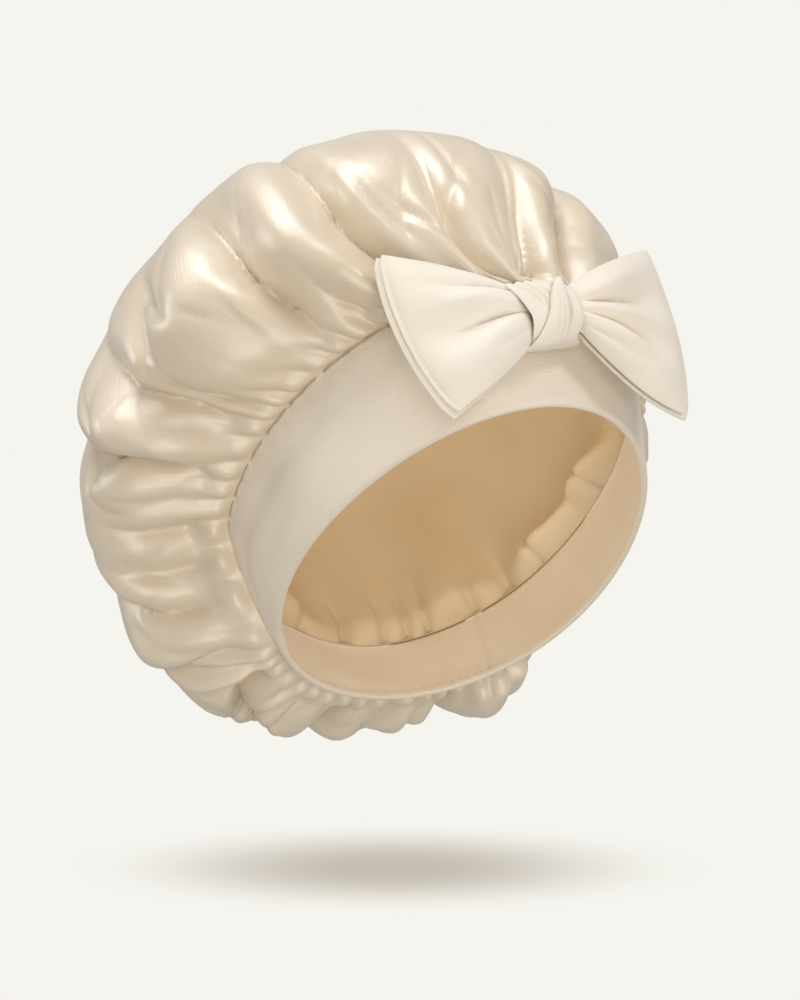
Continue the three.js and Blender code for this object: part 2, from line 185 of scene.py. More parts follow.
world = bpy.data.worlds.new("studio")
bpy.context.scene.world = world
world.use_nodes = True
sky = world.node_tree
sky.nodes.clear()
seen = add(sky, "ShaderNodeBackground", {"Color": linear(BACKGROUND), "Strength": 1.0})
lighting = add(sky, "ShaderNodeBackground", {"Color": linear("#FFFDF9"), "Strength": WORLD_LIGHT})
path = add(sky, "ShaderNodeLightPath")
choice = add(sky, "ShaderNodeMixShader", links={
    0: path.outputs["Is Camera Ray"], 1: lighting.outputs[0], 2: seen.outputs[0],
})
add(sky, "ShaderNodeOutputWorld", links={"Surface": choice.outputs[0]})
bpy.context.scene.view_settings.view_transform = "Standard"


def stage_sheet(name, half_width, material):
    """A large flat square that belongs to the studio and not to the bonnet."""
    shape = bmesh.new()
    bmesh.ops.create_grid(shape, x_segments=1, y_segments=1, size=half_width)
    mesh = bpy.data.meshes.new(name)
    shape.to_mesh(mesh)
    shape.free()
    mesh.materials.append(material)
    sheet = bpy.data.objects.new(name, mesh)
    bpy.context.scene.collection.objects.link(sheet)
    return sheet


paint = new_material("matte white studio paint")
matte = add(paint.node_tree, "ShaderNodeBsdfPrincipled", {"Base Color": linear(BACKGROUND), "Roughness": 0.9})
add(paint.node_tree, "ShaderNodeOutputMaterial", links={"Surface": matte.outputs[0]})
floor = stage_sheet("floor", FLOOR_HALF_WIDTH, paint)
floor.location = (0, 0, -FLOOR_BELOW)

# %% Wall paint with the soft shadow
pixel = SENSOR / PHOTO_HEIGHT / LENS * (DISTANCE + WALL_BEHIND)
wall_paint = new_material("pale wall with a soft shadow")
tree = wall_paint.node_tree
place = add(tree, "ShaderNodeTexCoord")
shadow_at = add(tree, "ShaderNodeMapping", {
    "vector_type": "TEXTURE",
    "Location": (SHADOW_PIXELS["right"] * pixel, SHADOW_PIXELS["up"] * pixel, 0),
    "Scale": (SHADOW_PIXELS["half_width"] * pixel, SHADOW_PIXELS["half_height"] * pixel, 1),
}, {"Vector": place.outputs["Object"]})
reach = add(tree, "ShaderNodeVectorMath", {"operation": "LENGTH"}, {0: shadow_at.outputs[0]})
fade = add(tree, "ShaderNodeMapRange", {
    "interpolation_type": "SMOOTHERSTEP",
    "From Min": 0.0, "From Max": SHADOW_EDGE, "To Min": 1.0, "To Max": 0.0,
}, {"Value": reach.outputs["Value"]})
tint = add(tree, "ShaderNodeMix", {"data_type": "RGBA"}, {0: fade.outputs[0]})
tint.inputs[6].default_value = linear(BACKGROUND)
tint.inputs[7].default_value = linear(SHADOW)
glow = add(tree, "ShaderNodeEmission", {"Strength": 1.0}, {"Color": tint.outputs[2]})
add(tree, "ShaderNodeOutputMaterial", links={"Surface": glow.outputs[0]})
wall = stage_sheet("wall", WALL_HALF_WIDTH, wall_paint)
wall.matrix_world = Matrix.Translation(TARGET - towards_camera * WALL_BEHIND) @ axes
for ray in ("visible_diffuse", "visible_glossy", "visible_transmission", "visible_shadow"):
    setattr(wall, ray, False)

# %% [markdown]
# ## Sizes
#
# These are the sewing sizes, in millimetres and radians. The solids in the frame were made from the
# same ones, so each dressed surface lies where its solid is. Only the crown's cloth is thinner here.

# %% Sizes
MM = 0.001
RIM_HALF_LENGTH = 93
RIM_HALF_WIDTH = 70
NAPE_FULLNESS = 0.08
BAND_FRONT_HEIGHT = 54
BAND_SIDE_HEIGHT = 48.5
BAND_BACK_HEIGHT = 37
BAND_FLARE = 12.5
HEM_HEIGHT = 5
HEM_START = math.radians(110)
HEM_END = math.radians(138)
FACING_THICKNESS = 1.4
BAND_WALL = 3.0
FACING_STAND = 1.2
CROWN_FRONT_FULLNESS = 4.5
CROWN_SIDE_FULLNESS = 41
CROWN_BACK_FULLNESS = 37
CROWN_LEAN = -15
TOP_LEAN = -8
CROWN_FRONT_RISE = 50
CROWN_BACK_RISE = 36
CROWN_TOP_RISE = 145
CROWN_SAG = 32
SIDE_SAG_SHARE = 0.35
CROWN_THICKNESS = 1.0
WIDEST_SHARE = 0.38
GAP = 0.3


def ease(value, low, high):
    """0 below low, 1 above high, and a smooth step between them."""
    t = np.clip((value - low) / (high - low), 0, 1)
    return t * t * (3 - 2 * t)


def around(angle, front, side, back):
    """A size that goes from the forehead over the side to the nape and back."""
    c = np.cos(angle)
    return side + c * (front - back) / 2 + c * c * ((front + back) / 2 - side)


def turn_between(angle, other):
    """The turn from one angle to another the short way round."""
    return (angle - other + math.pi) % (2 * math.pi) - math.pi


def mix(a, b, t):
    """The value a share t of the way from a to b."""
    return a + (b - a) * t


def facing_height(angle):
    """From the fold at the opening to the facing's upper edge."""
    return around(angle, BAND_FRONT_HEIGHT, BAND_SIDE_HEIGHT, BAND_BACK_HEIGHT)


def seam_height(angle):
    """From the fold to the crown's seam on the outside, which drops to the hem at the nape."""
    narrowing = ease(np.abs(turn_between(angle, 0)), HEM_START, HEM_END)
    return mix(facing_height(angle) - FACING_STAND, HEM_HEIGHT, narrowing)


def band_point(angle, out, height):
    """A point of the band: out from the inner face of the fold, and up, with the flare."""
    reach = out + BAND_FLARE * height / facing_height(angle)
    widening = 1 - NAPE_FULLNESS * np.cos(angle)
    x = np.sin(angle) * (RIM_HALF_WIDTH * widening + reach)
    y = -np.cos(angle) * (RIM_HALF_LENGTH + reach)
    return np.stack([x, y, height + 0 * angle], -1)


# %% [markdown]
# ## Cloth from a grid
#
# Every piece of cloth starts as Blender's own flat grid, laid out as it was cut, from 0 to 1 both
# ways. Its UV map is taken there, so that a weave follows the cloth through every fold. Then each
# point is moved to where sewing put it, and edges that meet are merged.

# %% Cloth from a grid
MERGE_DISTANCE = 1e-6


def cloth(name, columns, rows, shape, thickness, materials, inner_material=0, offset=-1.0, rounding=0):
    """Cloth whose points are placed by shape(u, v). A thickness of 0 adds no wall to it."""
    sheet = bmesh.new()
    sheet.loops.layers.uv.new("Cloth")
    bmesh.ops.create_grid(sheet, x_segments=columns, y_segments=rows, size=0.5, calc_uvs=True)
    flat = np.array([v.co[:2] for v in sheet.verts]) + 0.5
    placed = shape(flat[:, 0], flat[:, 1]) * MM
    for point, at in zip(sheet.verts, placed):
        point.co = at
    bmesh.ops.remove_doubles(sheet, verts=sheet.verts, dist=MERGE_DISTANCE)
    bmesh.ops.recalc_face_normals(sheet, faces=sheet.faces)
    for face in sheet.faces:
        face.smooth = True
    mesh = bpy.data.meshes.new(name)
    sheet.to_mesh(mesh)
    sheet.free()
    for material in materials:
        mesh.materials.append(material)
    piece = bpy.data.objects.new(name, mesh)
    bpy.context.scene.collection.objects.link(piece)
    if thickness:
        wall = piece.modifiers.new("cloth thickness", "SOLIDIFY")
        wall.thickness = thickness * MM
        wall.offset = offset
        wall.material_offset = inner_material
        wall.material_offset_rim = 0
    if rounding:
        soften = piece.modifiers.new("soft edges", "SUBSURF")
        soften.levels = soften.render_levels = rounding
    print(name, "has", len(mesh.polygons), "faces before its thickness")
    return piece


def outward(form, u, v, step=0.004):
    """The direction out of a smooth form at u, v, from two small steps along it."""
    low, high = np.clip(v - step, 0, 1 - 2 * step), np.clip(v + step, 2 * step, 1)
    along = form(u, high) - form(u, low)
    across = form(u + step, v.clip(step, 1 - step)) - form(u - step, v.clip(step, 1 - step))
    normal = np.cross(across, along)
    return normal / np.linalg.norm(normal, axis=1, keepdims=True)


# %% [markdown]
# ## Materials
#
# The crown is satin: long threads float on its face, so it is smooth to light along them and gives
# broad soft highlights. Its reverse is duller, and its colour is darker and warmer as painted shade and
# warm bounce light for the inside of the crown. The band and the bow are the same
# cloth with its crepe side out, which is matte with a fine weave. Real threads are about 0.1 mm
# apart, too fine to show, so the weave is drawn about 1 mm apart.

# %% Materials
# At this scale the wave texture makes one thread for each unit of its coordinate.
ONE_WAVE = 0.314
# Soft patterns, counted to the metre: colour clouds 60 mm wide, crumples of 18 mm and slubs of 1.4 mm
CLOUDS = 16.0
CRUMPLES = 55.0
SLUBS = 700.0
SLUB_SHARE = 0.6
CRUMPLE_DEPTH = 0.004
THREAD_DEPTH = 0.0006


def woven(name, light, dark, weave, weave_depth, crumple, settings, cut):
    """A woven cloth: two close colours in a soft cloud, a thread pattern and a slight crumple.

    weave is how far apart the threads are and cut the piece's flat sizes, in millimetres.
    """
    material = new_material(name)
    tree = material.node_tree
    place = add(tree, "ShaderNodeTexCoord")
    on_piece = {"Vector": place.outputs["Object"]}
    cloud = add(tree, "ShaderNodeTexNoise", {"Scale": CLOUDS, "Detail": 3.0}, on_piece)
    tone = add(tree, "ShaderNodeMapRange", {"From Min": 0.3, "From Max": 0.7}, {"Value": cloud.outputs[0]})
    counted = add(tree, "ShaderNodeMapping", {"Scale": (cut[0] / weave, cut[1] / weave, 1)},
                  {"Vector": place.outputs["UV"]})
    on_threads = {"Vector": counted.outputs[0]}
    uneven = {"Scale": ONE_WAVE, "Distortion": 1.2, "Detail": 1.0, "Detail Scale": 0.6}
    warp = add(tree, "ShaderNodeTexWave", {"bands_direction": "X", **uneven}, on_threads)
    weft = add(tree, "ShaderNodeTexWave", {"bands_direction": "Y", **uneven}, on_threads)
    threads = add(tree, "ShaderNodeMath", {"operation": "MULTIPLY"}, {0: warp.outputs[1], 1: weft.outputs[1]})
    slub = add(tree, "ShaderNodeTexNoise", {"Scale": SLUBS, "Detail": 2.0}, on_piece)
    grain = add(tree, "ShaderNodeMath", {"operation": "MULTIPLY_ADD", 1: SLUB_SHARE},
                {0: threads.outputs[0], 2: slub.outputs[0]})
    colour = add(tree, "ShaderNodeMix", {"data_type": "RGBA"}, {0: tone.outputs[0]})
    colour.inputs[6].default_value = linear(light)
    colour.inputs[7].default_value = linear(dark)
    rumple = add(tree, "ShaderNodeTexNoise", {"Scale": CRUMPLES, "Detail": 3.0, "Roughness": 0.5}, on_piece)
    soft = add(tree, "ShaderNodeBump", {"Strength": crumple, "Distance": CRUMPLE_DEPTH},
               {"Height": rumple.outputs[0]})
    fine = add(tree, "ShaderNodeBump", {"Strength": weave_depth, "Distance": THREAD_DEPTH},
               {"Height": grain.outputs[0], "Normal": soft.outputs[0]})
    finish = add(tree, "ShaderNodeBsdfPrincipled", settings,
                 {"Base Color": colour.outputs[2], "Normal": fine.outputs[0]})
    add(tree, "ShaderNodeOutputMaterial", links={"Surface": finish.outputs[0]})
    return material


# Flat sizes of the pieces in millimetres, so that the threads are counted across each of them. The
# crown's is its round at the seam with its gathers, and its run from the seam to the top.
CROWN_CUT = (640, 260)
BAND_CUT = (560, 110)
WING_CUT = (62, 78)
KNOT_CUT = (90, 26)
SATIN_WEAVE = 1.3
CREPE_WEAVE = 1.1

satin = woven("champagne polyester satin, glossy face", "#E6D7C1", "#DAC9AE", SATIN_WEAVE, 0.12, 0.24, {
    "Roughness": 0.42, "IOR": 1.9, "Anisotropic": 0.4, "Sheen Weight": 0.2, "Sheen Roughness": 0.4,
    "Coat Weight": 0.6, "Coat Roughness": 0.35,
}, CROWN_CUT)
# The reverse is duller, which its roughness gives. Its colour is darker and warmer than the face's as painted
# shade and warm bounce light for the inside of the crown.
reverse_with_painted_shade = woven("champagne satin, dull reverse", "#DDCBAC", "#D2BC99", SATIN_WEAVE, 0.10, 0.10, {
    "Roughness": 0.62, "IOR": 1.5, "Sheen Weight": 0.1,
}, CROWN_CUT)
matte_crepe = {"Roughness": 0.6, "IOR": 1.5, "Sheen Weight": 0.35, "Sheen Roughness": 0.45}
band_crepe = woven("cream crepe-backed satin on the band", "#F0E5D5", "#E9DCC8", CREPE_WEAVE, 0.30, 0.08,
                   matte_crepe, BAND_CUT)
bow_crepe = woven("cream crepe-backed satin on the bow", "#F2E9DC", "#ECE1D0", CREPE_WEAVE, 0.14, 0.08,
                  matte_crepe, WING_CUT)
knot_crepe = woven("cream crepe-backed satin on the knot", "#EFE7DA", "#E8DDCC", CREPE_WEAVE, 0.14, 0.06,
                   matte_crepe, KNOT_CUT)
thread = new_material("polyester sewing thread")
sewn = add(thread.node_tree, "ShaderNodeBsdfPrincipled",
           {"Base Color": linear("#D9C7AC"), "Roughness": 0.5, "IOR": 1.5, "Sheen Weight": 0.2})
add(thread.node_tree, "ShaderNodeOutputMaterial", links={"Surface": sewn.outputs[0]})

# %% [markdown]
# ## Crown
#
# The crown runs from the seam over its widest ring to the top. Below the nape it sags, as loose
# cloth does. Gathered cloth makes rounded puffs with sharp valleys between them, so a gather is a wave
# that is smooth on its crest and creased in its trough. Small gathers die out close to the seam, wider
# ones go on, and long folds, listed in a table, cross the crown. Sculpting could do the same, but
# a table can be read and changed one fold at a time.

# %% Crown without its folds
def crown_form(angle, share):
    """The crown's outer face from the seam (0) over its widest ring to the top (1)."""
    start = band_point(angle, FACING_THICKNESS + GAP + CROWN_THICKNESS, seam_height(angle) + GAP)
    front_seam, back_seam = seam_height(np.zeros(1))[0], seam_height(np.full(1, math.pi))[0]
    widest_front, widest_back = front_seam + CROWN_FRONT_RISE, back_seam + CROWN_BACK_RISE
    edge = BAND_WALL + BAND_FLARE
    front_reach = RIM_HALF_LENGTH + edge + CROWN_FRONT_FULLNESS
    back_reach = RIM_HALF_LENGTH + edge + CROWN_BACK_FULLNESS
    set_back = (back_reach - front_reach) / 2
    widest = np.stack([
        np.sin(angle) * (RIM_HALF_WIDTH + edge + CROWN_SIDE_FULLNESS) + CROWN_LEAN,
        -np.cos(angle) * (front_reach + back_reach) / 2 + set_back,
        around(angle, widest_front, (widest_front + widest_back) / 2, widest_back),
    ], -1)
    top = np.array([TOP_LEAN, set_back, front_seam + CROWN_TOP_RISE])
    lower = np.clip(share / WIDEST_SHARE, 0, 1) * math.pi / 2
    upper = np.clip((share - WIDEST_SHARE) / (1 - WIDEST_SHARE), 0, 1) * math.pi / 2
    sag = CROWN_SAG * np.sin(lower) ** 2 * np.cos(lower) * around(angle, 0, SIDE_SAG_SHARE, 1)
    side_on = mix(start, widest, np.sin(lower)[:, None])
    below = np.column_stack([side_on[:, :2], mix(start[:, 2], widest[:, 2], 1 - np.cos(lower)) - sag])
    above = np.column_stack([
        mix(top[None, :2], widest[:, :2], np.cos(upper)[:, None]),
        mix(widest[:, 2], top[2], np.sin(upper)),
    ])
    return np.where((share < WIDEST_SHARE)[:, None], below, above)


# %% Folds of the crown
# "at" is where a fold leaves the seam, in degrees from the forehead towards the wearer's left, and it
# moves round by "drift" times the share of the run from seam to top plus "bend" times its square.
# "half" times FOLD_WIDENING is its half width in degrees, and "depth" times FOLD_DEPTH its depth in
# millimetres, negative for a puff. "steep" above 0 makes its wearer's-left wall the steeper one, and
# below 0 the other. It is deepest at "middle" and gone at "end".
FOLD_COLUMNS = ("at", "drift", "bend", "half", "steep", "depth", "middle", "end")
FOLDS = [
    (-5.5, 33, -17, 5, 0.3, 5.0, 0.26, 0.70),
    (-2.5, 30, -14, 4, -0.4, 4.5, 0.24, 0.62),
    (7.5, 24, 12, 6, 0.5, 7.0, 0.36, 0.72),
    (-13, 10, -20, 5, 0.4, 4.5, 0.28, 0.66),
    (-26.5, -2, -29, 7, 0.6, 7.0, 0.34, 0.78),
    (-40, 0, -20, 9, 0.0, -3.0, 0.40, 0.80),
    (-45, 16, -30, 4, 0.0, 2.6, 0.12, 0.34),
    (-58, 60, -110, 7, -0.4, 8.0, 0.30, 0.68),
    (-67, 6, 0, 9, 0.0, -3.0, 0.30, 0.70),
    (-76, 4, 0, 6, 0.0, 3.4, 0.22, 0.44),
    (-84, 42, -100, 6, 0.4, 7.5, 0.26, 0.62),
    (-90, 30, -90, 7, 0.0, -3.5, 0.34, 0.66),
    (-99.5, 55, -140, 7, 0.7, 9.5, 0.28, 0.64),
    (-113.3, 22, -30, 5, 0.2, 4.2, 0.12, 0.34),
    (-119, 8, -30, 5, 0.2, 3.5, 0.12, 0.36),
    (-125, 3, -42, 7, -0.4, 7.0, 0.20, 0.50),
    (-134, 5, -125, 6, 0.3, 5.0, 0.16, 0.44),
    (-142, -60, -200, 7, 0.6, 9.0, 0.14, 0.40),
    (-165, -20, 0, 6, 0.0, 3.0, 0.10, 0.32),
    (-178, -12, 0, 6, 0.4, 7.5, 0.13, 0.42),
    (164, 10, 0, 6, 0.0, 5.0, 0.12, 0.44),
    (150, 0, 0, 8, 0.0, 6.0, 0.16, 0.46),
    (134, 0, 0, 13, 0.0, -4.0, 0.10, 0.42),
    (127, 10, 0, 6, 0.0, 4.0, 0.20, 0.55),
    (114, 8, 0, 6, 0.3, 5.0, 0.20, 0.50),
    (99, 6, -20, 7, 0.5, 8.0, 0.30, 0.68),
    (84, 4, 0, 6, 0.0, 5.0, 0.24, 0.50),
    (62, 0, 0, 18, 0.0, 5.0, 0.16, 0.42),
    (68, 8, -20, 7, -0.4, 7.5, 0.34, 0.72),
    (50, -4, 0, 6, 0.0, 4.0, 0.22, 0.50),
    (33, 8, 10, 7, 0.4, 6.0, 0.34, 0.76),
    (26, 0, 0, 26, 0.0, -1.8, 0.42, 0.85),
]
# Gathers round the seam. "depth" is in millimetres, "uneven" says how far their places wander and "sway"
# how far they turn on the way up. "starts" to "gone" are shares of the run from the seam to the top, and
# "longer" is what the longest ones add to "gone". At the nape, "behind" adds to the reach of the fine
# ones and to the depth of the wide ones.
FINE = {
    "count": 62, "depth": 4.0, "uneven": 1.1,
    "fades": 0.025, "gone": 0.08, "longer": 0.08, "behind": 0.03,
}
WIDE = {
    "count": 24, "depth": 4.4, "behind": 1.6, "uneven": 1.6, "sway": 0.05,
    "starts": 0.02, "full": 0.12, "fades": 0.16, "gone": 0.30, "longer": 0.12,
}
NAPE_START = math.radians(120)
NAPE_END = math.radians(145)
STITCHED_SHARE = 0.032
FREE_SHARE = 0.07
# The gathers swing about this level of a tuck: close to its bottom at the seam, and its middle above
SEAM_TUCK = 0.95
MEAN_TUCK = 0.5
LEVEL_CHANGE = (0.01, 0.06)
FOLD_DEPTH = 2.0
FOLD_WIDENING = 1.25
FOLD_RISE = 0.6
DRAPE_STARTS = (0.08, 0.3)
DRAPE_ENDS = (0.75, 1.0)
# A valley is part round and part sharp, and its steeper wall is this much narrower.
STEEPENING = 0.6
ROUND_PART = 0.62
SHARP_PART = 0.38
SHARPNESS = 8
SMALL_COUNT = 120
SMALL_SEED = 11
SMALL_RANGES = {
    "start": (0.02, 0.42), "drift": (-0.9, 0.9), "half": (2.5, 6),
    "depth": (1.0, 3.2), "length": (0.16, 0.34),
}
SMALL_LEAD = 0.04
SMALL_MIDDLE = 0.4
SMALL_STEEP = 0.3
# The drape is two crossed pairs of waves: the height of each pair in millimetres, and for each wave how
# often it goes round, how often it goes up, and its phase.
DRAPE = [(1.6, (6, 9, 0.0), (2, 11, 1.0)), (0.7, (13, -14, 2.0), (3, 17, 0.0))]
# How far the gathers' places wander: waves round the seam, their phase and their strength
WANDER = [(5, 0.6, 1.0), (11, 2.1, 0.8), (17, 4.0, 0.6)]


def draw_small_folds():
    """Small creases between the long folds lie as they happen to fall, so a seeded draw places them."""
    chance = np.random.default_rng(SMALL_SEED)
    places = chance.uniform(-math.pi, math.pi, SMALL_COUNT)
    starts = chance.uniform(*SMALL_RANGES["start"], SMALL_COUNT)
    folds = []
    for at, start in zip(places, starts):
        drift = chance.uniform(*SMALL_RANGES["drift"])
        half = math.radians(chance.uniform(*SMALL_RANGES["half"]))
        depth = chance.uniform(*SMALL_RANGES["depth"])
        end = start + chance.uniform(*SMALL_RANGES["length"])
        folds.append((at, drift, half, depth, start, end))
    return folds


SMALL_FOLDS = draw_small_folds()
print(len(FOLDS), "long folds and", len(SMALL_FOLDS), "small creases")


# %% Shape of one fold
def tucks(angle, count, uneven):
    """Gathers round the seam: 0 on each round crest and 1 in each sharp valley."""
    wander = sum(strength * np.sin(waves * angle + phase) for waves, phase, strength in WANDER)
    return 1 - np.abs(np.sin((count * angle + uneven * wander) / 2))


def valley(away, half, steep):
    """1 at the bottom of a fold, which is sharp, and 0 from its edges on."""
    side = np.where(away > 0, 1 - STEEPENING * max(steep, 0), 1 + STEEPENING * min(steep, 0))
    across = np.clip(np.abs(away) / (half * side), 0, 1)
    return ROUND_PART * (1 - across) ** 2 * (1 + across) + SHARP_PART * (1 - across) ** SHARPNESS


def puff(away, half):
    """1 at the top of a rounded swell, and 0 from its edges on."""
    return (1 + np.cos(np.clip(np.abs(away) / half, 0, 1) * math.pi)) / 2


# %% Folds laid on the crown
def gather_inset(angle, share):
    """Fine gathers die out close to the seam, and wide ones go on from there."""
    uneven = np.sin(9 * angle + 1.3) * np.sin(4 * angle + 0.5)
    longer = 0.5 + 0.5 * uneven
    behind = ease(np.abs(turn_between(angle, 0)), NAPE_START, NAPE_END)
    level = mix(SEAM_TUCK, MEAN_TUCK, ease(share, *LEVEL_CHANGE))
    fine = FINE["depth"] * (tucks(angle, FINE["count"], FINE["uneven"]) - level)
    fine *= 1 - ease(share, FINE["fades"], FINE["gone"] + FINE["longer"] * longer + FINE["behind"] * behind)
    swayed = angle + WIDE["sway"] * np.sin(3 * angle) * share
    wide_depth = WIDE["depth"] + WIDE["behind"] * behind
    wide = wide_depth * (tucks(swayed, WIDE["count"], WIDE["uneven"]) - MEAN_TUCK)
    fading = 1 - ease(share, WIDE["fades"], WIDE["gone"] + WIDE["longer"] * longer)
    wide *= ease(share, WIDE["starts"], WIDE["full"]) * fading
    return (fine + wide) * ease(share, 0, STITCHED_SHARE)


def long_inset(angle, share, fold):
    """One row of FOLDS."""
    at = np.radians(fold["at"] + fold["drift"] * share + fold["bend"] * share ** 2)
    away, half = turn_between(angle, at), math.radians(fold["half"] * FOLD_WIDENING)
    across = puff(away, half) if fold["depth"] < 0 else valley(away, half, fold["steep"])
    along = ease(share, 0, fold["middle"] * FOLD_RISE) * (1 - ease(share, fold["middle"], fold["end"]))
    return FOLD_DEPTH * fold["depth"] * across * along * ease(share, STITCHED_SHARE, FREE_SHARE)


def small_inset(angle, share, at, drift, half, depth, start, end):
    """One small crease."""
    away = turn_between(angle, at + drift * (share - start))
    middle = mix(start, end, SMALL_MIDDLE)
    along = ease(share, start - SMALL_LEAD, middle) * (1 - ease(share, middle, end))
    return depth * valley(away, half, SMALL_STEEP) * along


def drape_inset(angle, share):
    """Low swells of loose cloth between the seam and the top."""
    swells = 0
    for height, (round_one, up_one, phase_one), (round_two, up_two, phase_two) in DRAPE:
        one = np.sin(round_one * angle + up_one * share + phase_one)
        two = np.sin(up_two * share + round_two * angle + phase_two)
        swells = swells + height * one * two
    return swells * ease(share, *DRAPE_STARTS) * (1 - ease(share, *DRAPE_ENDS))


def fold_inset(angle, share):
    """How far the cloth lies in from the smooth form, in millimetres."""
    inset = gather_inset(angle, share)
    for row in FOLDS:
        inset += long_inset(angle, share, dict(zip(FOLD_COLUMNS, row)))
    for row in SMALL_FOLDS:
        inset += small_inset(angle, share, *row)
    return inset + drape_inset(angle, share)


def crown_point(angle, share):
    """The crown's outer face with its folds."""
    normal = outward(crown_form, angle, share)
    return crown_form(angle, share) - normal * fold_inset(angle, share)[:, None]


# %% Crown
CROWN_COLUMNS = 560
CROWN_ROWS = 80
CROWN_CROWDING = 1.25


def crown_share(v):
    """Rows lie closer together at the seam, where the gathers are."""
    return v ** CROWN_CROWDING


crown = cloth(
    "satin_crown", CROWN_COLUMNS, CROWN_ROWS,
    lambda u, v: crown_point(2 * math.pi * u, crown_share(v)),
    CROWN_THICKNESS, [satin, reverse_with_painted_shade], inner_material=1,
)

# %% [markdown]
# ## Lining
#
# Inside, cloth is gathered onto the facing's upper edge, rises in a soft roll and then falls
# back against the crown. The roll is what the light catches over the facing.

# %% Lining
LINING_THICKNESS = 0.8
# The crown's deepest folds reach far in, and the lining lies clear of them.
LINING_CLEARANCE = 23
LINING_COLUMNS = 300
LINING_ROWS = 64
LINING_CROWDING = 1.3
LINING_SWELL = 1.6
# The share of the crown's run where the lining meets it, at the forehead and at the nape
MEETS_FRONT = 0.1
MEETS_BACK = 0.46
MEETS_CHANGE = (math.radians(80), math.radians(140))
# Shares of the lining's own run where each of these comes in or goes
LEAVES_FACING = (0.015, 0.34)
ROLL_STARTS = (0.0, 0.09)
ROLL_SLACKENS = (0.12, 0.3)
PUCKERS_START = (0.0, 0.03)
PUCKERS_END = (0.05, 0.2)
ROLL_FRONT = 8
ROLL_SIDE = 14
ROLL_BACK = 9
ROLL_RISE = 62
PUCKERS = {"count": 23, "depth": 7.0, "uneven": 2.4, "slant": 0.3}
FACING_LIFT = 12.0
LIFT_AT = math.radians(-136)
LIFT_HALF = math.radians(58)


def facing_top(angle):
    """The facing's upper edge, which is higher at the wearer's right behind."""
    return facing_height(angle) + FACING_LIFT * puff(turn_between(angle, LIFT_AT), LIFT_HALF)


def lining_point(angle, along):
    """The lining from the facing's upper edge (0) over its roll to the top (1)."""
    behind = ease(np.abs(turn_between(angle, 0)), *MEETS_CHANGE)
    share = mix(mix(MEETS_FRONT, MEETS_BACK, behind), 1.0, along)
    swell = LINING_SWELL * np.sin(5 * angle + 6 * along) * np.sin(8 * along + 1.0)
    clear = CROWN_THICKNESS + LINING_CLEARANCE + swell
    back = crown_form(angle, share) - outward(crown_form, angle, share) * clear[:, None]
    uneven = 1 + 0.3 * np.sin(13 * angle + 1.0) + 0.25 * np.sin(7 * angle + 2.0)
    roll = around(angle, ROLL_FRONT, ROLL_SIDE, ROLL_BACK) * uneven
    roll = roll * ease(along, *ROLL_STARTS) * (1 - 0.5 * ease(along, *ROLL_SLACKENS))
    puckers = tucks(angle + PUCKERS["slant"] * along, PUCKERS["count"], PUCKERS["uneven"]) ** 2
    puckers = PUCKERS["depth"] * puckers
    puckers = puckers * ease(along, *PUCKERS_START) * (1 - ease(along, *PUCKERS_END))
    height = facing_top(angle) + 0.1 + ROLL_RISE * along
    rise = band_point(angle, FACING_THICKNESS / 2 - roll + puckers, height)
    return mix(rise, back, ease(along, *LEAVES_FACING)[:, None])


# The lining wears the reverse, whose darker, warmer colour is painted shade and warm bounce light.
lining = cloth(
    "crown_lining", LINING_COLUMNS, LINING_ROWS,
    lambda u, v: lining_point(2 * math.pi * u, v ** LINING_CROWDING),
    LINING_THICKNESS, [reverse_with_painted_shade],
)

# %% [markdown]
# ## Band
#
# The band is one wide strip folded over at the opening: a facing inside and an outer layer outside,
# with a soft roll where they meet. One closed section is carried round the head. At the nape the
# outer layer narrows to a stitched hem.

# %% Band
BAND_COLUMNS = 360
FACING_SEAM_AT = math.radians(139)
FACING_SEAM_HALF = 0.010
FACING_SEAM_RAISE = 0.9
BROAD_DENT = 0.7
BROAD_DENT_HEIGHT = 14
SLANTED_DENT = 0.45
SLANTED_DENT_HEIGHT = 11
DENTS_START = (2, 12)
GATHER_PULL = 0.45
GATHER_PULL_SHARES = (0.7, 1.0)
LIP = 0.7
# How far below its upper edge each layer lies flat, without dents
FACING_FLAT = 6
OUTER_FLAT = 8
# The outer layer is drawn in a little along a line at this share of its height.
HOLLOW_AT = 0.72
HOLLOW_DEPTH = 1.5
HOLLOW_HALF = 5


def band_outline(steps_up=22, steps_round=10, steps_edge=4):
    """The section's rows: the stretch that each is on, and how far along it the row lies."""
    rows = [("facing", 1 - i / steps_up) for i in range(steps_up)]
    rows += [("roll", i / steps_round) for i in range(steps_round + 1)]
    rows += [("outer", (i + 1) / steps_up) for i in range(steps_up)]
    rows += [("seam", i / steps_edge) for i in range(1, steps_edge)]
    rows += [("behind", i / steps_edge) for i in range(steps_edge)]
    rows += [("top", i / steps_edge) for i in range(steps_edge + 1)]
    return rows


OUTLINE = band_outline()


def dents(angle, height, phase):
    """Soft dents of the band's cloth, as a distance out."""
    broad = BROAD_DENT * np.sin(3 * angle + phase) * np.sin(height / BROAD_DENT_HEIGHT + phase)
    slanted = SLANTED_DENT * np.sin(7 * angle - height / SLANTED_DENT_HEIGHT + 2 * phase)
    return (broad + slanted) * ease(height, *DENTS_START)


def facing_row(angle, top, t):
    """The facing, with its one upright seam, as a distance out and a height."""
    height = mix(BAND_WALL / 2, top - 0.4, t)
    out = dents(angle, height, 1.0) * (1 - ease(height, top - FACING_FLAT, top))
    from_seam = turn_between(angle, FACING_SEAM_AT) / FACING_SEAM_HALF
    return out + FACING_SEAM_RAISE * np.exp(-from_seam ** 2) * ease(height, 2, 5), height


